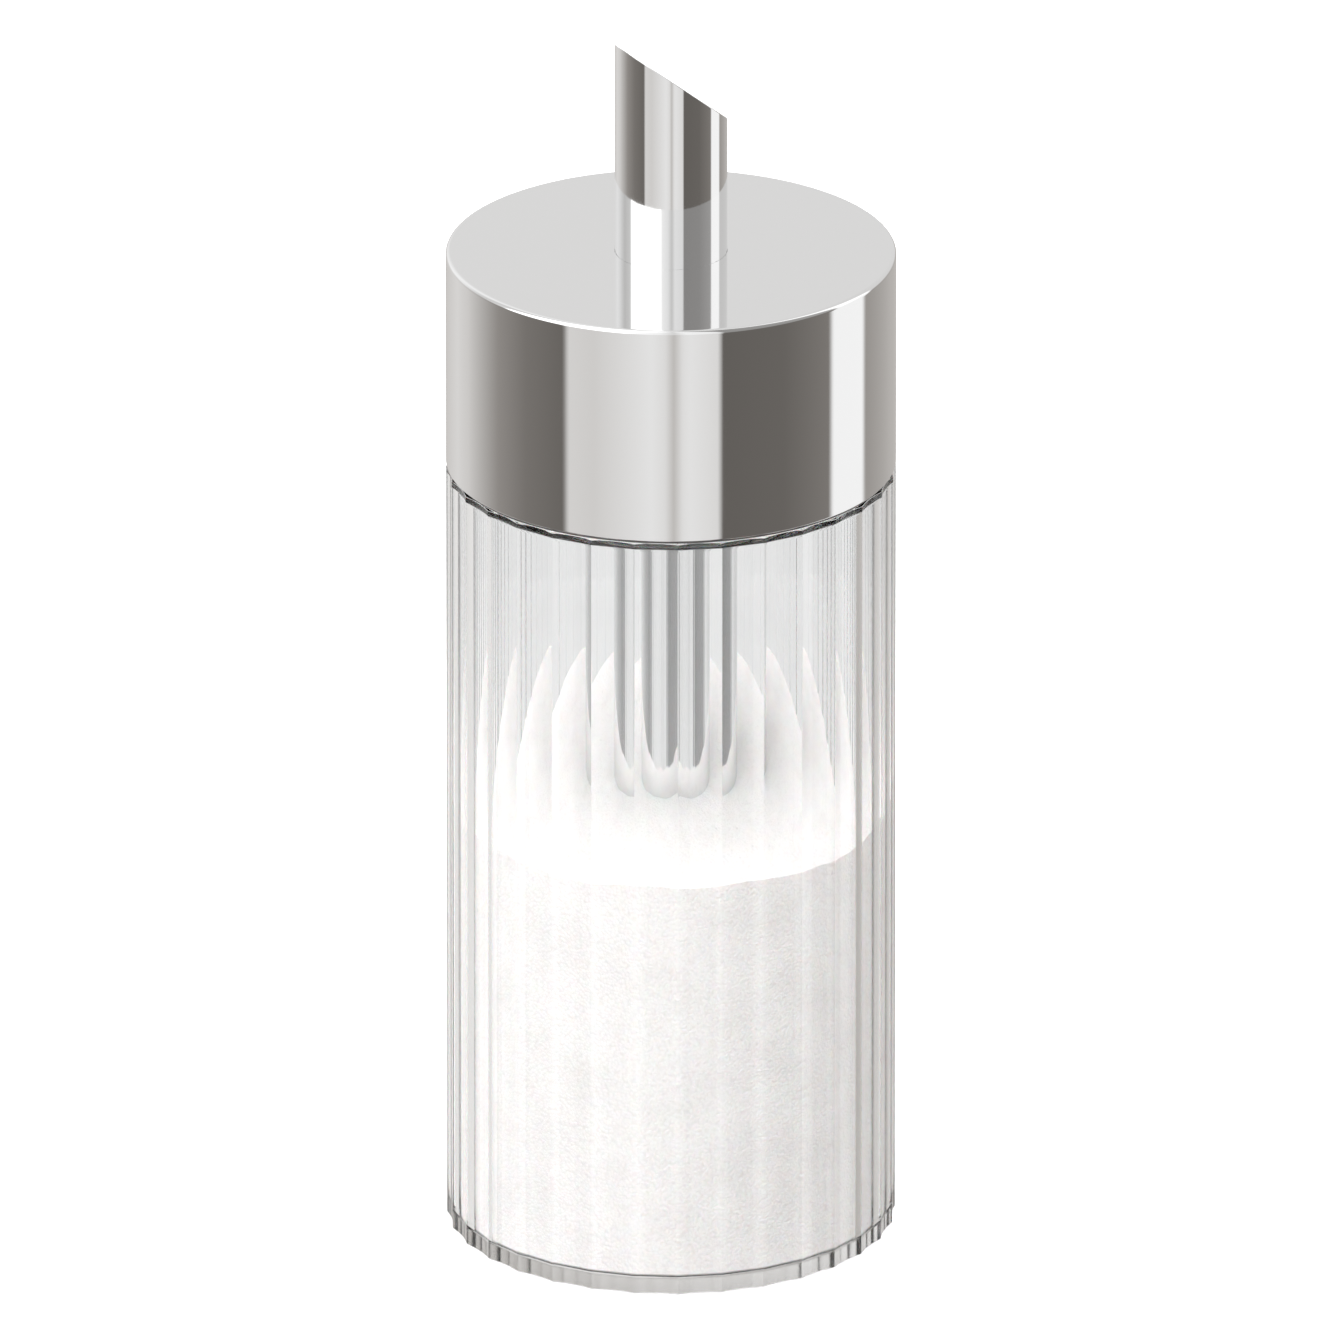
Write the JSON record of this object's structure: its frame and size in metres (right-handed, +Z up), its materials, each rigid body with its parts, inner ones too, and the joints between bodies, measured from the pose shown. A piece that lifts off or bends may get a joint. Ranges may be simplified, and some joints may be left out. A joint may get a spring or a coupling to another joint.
{
  "type": "sugar dispenser",
  "caption": "Slim fluted glass sugar jar with a polished screw-on steel lid and a slanted dosing tube that stands in the sugar.",
  "frame": {"origin": "centre of the jar's underside, on the table it stands on", "axes": "+Z up along the jar's axis; +X towards the low side of the slanted spout"},
  "size_m": [0.05, 0.05, 0.14],
  "materials": {
    "clear_glass": "gloss",
    "polished_steel": "polished",
    "liner_plastic": "satin",
    "seal_silicone": "matte",
    "spring_steel": "satin",
    "sugar": "matte"
  },
  "bodies": {
    "jar": {"jar": "clear_glass", "sugar_fill": "sugar"},
    "seal": {"seal_ring": "seal_silicone"},
    "tube_seal": {"tube_ring": "seal_silicone"},
    "lid": {"cap_shell": "polished_steel", "cap_liner": "liner_plastic", "dosing_tube": "polished_steel", "lock_ring": "spring_steel"}
  },
  "joints": [
    {"name": "lid_lift", "type": "slide", "parent": "jar", "child": "seal", "axis": [0, 0, 1], "range_m": [0, 0.1]},
    {"name": "lid_rise", "type": "slide", "parent": "seal", "child": "tube_seal", "axis": [0, 0, 1], "range_m": [0, 0.004]},
    {"name": "lid_turn", "type": "hinge", "parent": "tube_seal", "child": "lid", "pos_m": [0, 0, 0.09], "axis": [0, 0, 1], "range_deg": [0, 360]}
  ],
  "couplings": [
    {"joint": "lid_rise", "follows": "lid_turn", "m_per_rad": 0.00063662}
  ]
}
